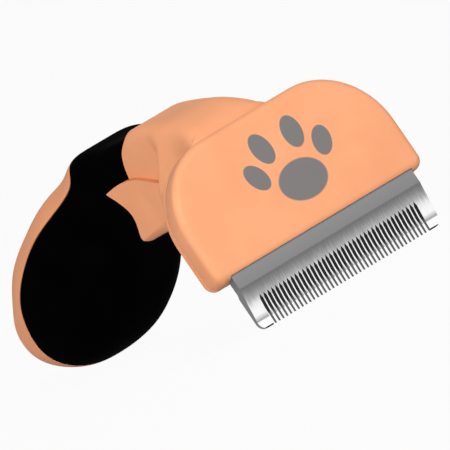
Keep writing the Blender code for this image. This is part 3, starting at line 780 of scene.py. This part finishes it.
def neckHalf(y, z):
    # half width of the neck over its side view: an arch in front of the ridge, a scooped wall above the
    # finger rest behind it, mixed by a smooth step across the ridge
    low, foot, flank, top, lip = neckLevels(y)
    spring = lip - neck["springDrop"]
    up = np.clip((z - spring) / (top - spring), 0.0, 1.0)
    down = np.clip((spring - z) / (spring - low), 0.0, 1.0)
    power = neck["archPower"]
    arch = flank * (1 - up ** power) ** (1 / power) + (foot - flank) * down
    rise = np.clip(1 - (z - lip) / neck["scoopRise"], 0.0, 1.0)
    rest = neck["rest"] + neck["restFlare"] * np.clip((y - neck["flareFrom"]) / neck["flareRun"], 0.0, 1.0)
    wall = neck["wall"] + (rest - neck["wall"]) * rise ** 2 - rounded(top - z, neck["shoulder"])
    wall -= neck["footSlope"] * np.maximum(neck["footTurn"] - z, 0.0)  # facet under the finger rest
    widening = np.clip((z - neck["ridgeFrom"]) / neck["ridgeRun"], 0.0, 1.0)
    broad = neck["ridge"] + (neck["ridgeTop"] - neck["ridge"]) * widening
    step = np.clip((y - smoothRow(ridgeTable[:, 0], ridgeTable[:, 1], z)) / broad, 0.0, 1.0)
    share = step * step * (3 - 2 * step)
    return arch + (wall - arch) * share - rounded(z - low, neck["footRound"])


def neckHeight(y, level, upper):
    # height at a share of the way from the lip to the top, or from the underside to the lip
    low, foot, flank, top, lip = neckLevels(y)
    return lip + (top - lip) * level if upper else low + (lip - low) * level


def neckEnd(level, points, upper):
    # where each level meets the neck's back edge, found by repeating the look-up
    line = bSpline(points, neck["edgeSamples"])
    order = np.argsort(line[:, 1])
    y = np.full(len(level), neck["upperGuess"] if upper else neck["lowerGuess"])
    for again in range(neck["tries"]):
        z = neckHeight(y, level, upper)
        y = 0.5 * y + 0.5 * np.interp(z, line[order, 1], line[order, 0])
    return y


def neckPatch(start, end, columns, level, upper):
    # grid of the neck's side: even steps from start to end along Y, the levels over its height
    y = start + (end - start) * np.linspace(0, 1, columns)[:, None]
    z = neckHeight(y, level, upper)
    return np.stack((neckHalf(y, z), y, z), axis=-1)


def neckPatches():
    # the wall above the lip, the flank below it in front, and the finger rest behind the flank
    start = neck["start"]
    upperLevel = np.insert(easeOut(neck["upperRows"]), 1, neck["ledgeRow"])  # a thin first row for the ledge
    lowerLevel = 1 - easeOut(neck["lowerRows"])[::-1]
    upperEnd = neckEnd(upperLevel, seamLine, True)
    upperEnd[0] = seamLine[-1, 0]
    lowerEnd = neckEnd(lowerLevel, finLine, False)
    lowerEnd[-1] = finLine[0, 0]
    split = np.full(len(lowerLevel), seamLine[-1, 0])
    upper = neckPatch(start, upperEnd, neck["columns"], upperLevel, True)
    front = neckPatch(start, split, neck["columns"], lowerLevel, False)
    rest = neckPatch(split, lowerEnd, neck["restColumns"], lowerLevel, False)
    halves = [upper, front, rest]
    borders = (upper[0], front[0], upper[-1], rest[:, -1], upper[:, -1], front[:, 0], rest[:, 0])
    closing = [across(line) for line in borders]
    return halves + [mirrored(patch) for patch in halves] + closing + [neckSwell(rest[-1])]


# x and z of the screws in the head's back; radius, start and end of each seat and hole along Y
screws = {"cover": ((-31.0, 20.0), (31.0, 20.0), (-17.5, 28.5), (17.5, 28.5)),
          "blade": ((-25.0, 8.4), (0.0, 8.4), (25.0, 8.4)),
          "seat": (2.85, 8.3, 12.0), "hole": (1.65, 6.0, 9.0)}


def makeNeckFrame():
    # the head's back plate, joined with the neck and cut for the screws
    seam = head["back"] - head["backWall"] + head["gap"] / 2
    rim = ((head["plateRim"], seam),)
    rows = np.concatenate((rim, seamRows(seam, -1)[::-1], roundRows(head["back"], -1)[::-1]))
    steps = [(helperObject("neckBody", neckPatches()), "UNION")]
    for x, z in screws["cover"] + screws["blade"]:
        for name in ("seat", "hole"):
            rod = helperObject(name, rodPatches(x, z, *screws[name]))
            steps.append((rod, "DIFFERENCE"))
    finishMesh("neckFrame", combine(headBody("plateBody", rows), steps), plainPlastic,
               ["neck_frame"])


makeNeckFrame()

# CAD nodes that stay, by the start of their names
coats = {"cover_screw": zincPlate, "blade_screw": zincPlate, "handle_screw": zincPlate,
         "neck_pin": zincPlate, "blade_clamp": zincPlate, "handle_core": greyNylon}
for node in frame["nodes"]:
    for start, coat in coats.items():
        if node.startswith(start):
            thing = bpy.data.objects[node]
            thing.data.materials.clear()
            thing.data.materials.append(coat)
print("CAD nodes coated")

# spot is the pixel of the tool's origin; right and up are the picture's axes in the tool's frame
view = {"pixels": 450, "pixelsPerMm": 3.695, "spot": (321.2, 222.5), "distance": 5.85, "sensor": 36.0,
        "clip": (0.1, 100.0), "right": (0.7300, -0.3861, -0.5639), "up": (0.4351, -0.3737, 0.8192)}


def makeCamera():
    # a long lens, so far off that the picture is nearly a parallel one
    right = leanTurn @ np.array(view["right"])
    right /= np.linalg.norm(right)
    up = leanTurn @ np.array(view["up"])
    up -= right * (up @ right)
    up /= np.linalg.norm(up)
    back = np.cross(right, up)
    pixel = mm / view["pixelsPerMm"]
    shift = (view["pixels"] / 2 - np.array(view["spot"])) * pixel
    centre = leanShift + right * shift[0] - up * shift[1]
    lens = bpy.data.cameras.new("photoCamera")
    lens.sensor_width = view["sensor"]
    lens.lens = view["sensor"] * view["distance"] / (view["pixels"] * pixel)
    lens.clip_start, lens.clip_end = view["clip"]
    camera = addObject("photoCamera", lens)
    place = centre + back * view["distance"]
    turn = np.stack((right, up, back, place), axis=1)
    camera.matrix_world = Matrix(turn.tolist() + [[0.0, 0.0, 0.0, 1.0]])
    scene.camera = camera


makeCamera()

# each lamp: name, place and size in metres, power in watts
studio = {"floor": 12.0, "floorColour": 0.5, "floorGlow": 0.95, "floorRoughness": 0.9, "floorShine": 0.1,
          "worldStrength": 0.18, "aim": (0.0, 0.0, 0.03),
          "lamps": (("leftLamp", (-1.28, -0.83, 0.2), 0.5, 15.5), ("keyLamp", (0.1, -1.3, 0.7), 0.9, 1.3),
                    ("topLamp", (0.3, -1.0, 1.1), 0.8, 12.0))}


def makeFloor():
    # a wide square, seen mostly as an even white and lit by the lamps for the rest
    mesh = bpy.data.meshes.new("floor")
    corners = np.array(((-1, -1, 0), (1, -1, 0), (1, 1, 0), (-1, 1, 0))) * studio["floor"]
    mesh.from_pydata(corners.tolist(), [], [(0, 1, 2, 3)])
    floor = addObject("floor", mesh)
    made = Coat("paleFloor")
    made.put((studio["floorColour"],) * 3 + (1.0,), "Base Color")
    made.put(studio["floorRoughness"], "Roughness")
    made.put(studio["floorShine"], "Specular IOR Level")
    share = made.math("MULTIPLY", made.seenDirectly(), studio["floorGlow"])
    glow = made.add("ShaderNodeEmission", {"Color": (1.0, 1.0, 1.0, 1.0), "Strength": 1.0})
    blend = made.add("ShaderNodeMixShader", {0: share, 1: made.shader.outputs[0], 2: glow.outputs[0]})
    made.tree.links.new(blend.outputs[0], made.tree.nodes["Material Output"].inputs["Surface"])
    mesh.materials.append(made.material)


def makeLight():
    # a white world that is bright where it is seen and weak as a light, and three round lamps
    world = bpy.data.worlds.new("studio")
    scene.world = world
    world.use_nodes = True
    made = Wiring(world.node_tree)
    sky = made.tree.nodes["Background"]
    sky.inputs["Color"].default_value = (1.0, 1.0, 1.0, 1.0)
    strength = made.span(made.seenDirectly(), 0.0, 1.0, studio["worldStrength"], 1.0)
    made.tree.links.new(strength, sky.inputs["Strength"])
    for name, place, size, power in studio["lamps"]:
        lamp = bpy.data.lights.new(name, "AREA")
        lamp.shape = "DISK"
        lamp.size = size
        lamp.energy = power
        holder = addObject(name, lamp)
        holder.location = place
        aim = Vector(studio["aim"]) - Vector(place)
        holder.rotation_euler = aim.to_track_quat("-Z", "Y").to_euler()


makeFloor()
makeLight()
scene.view_settings.view_transform = "Standard"
print("studio set")
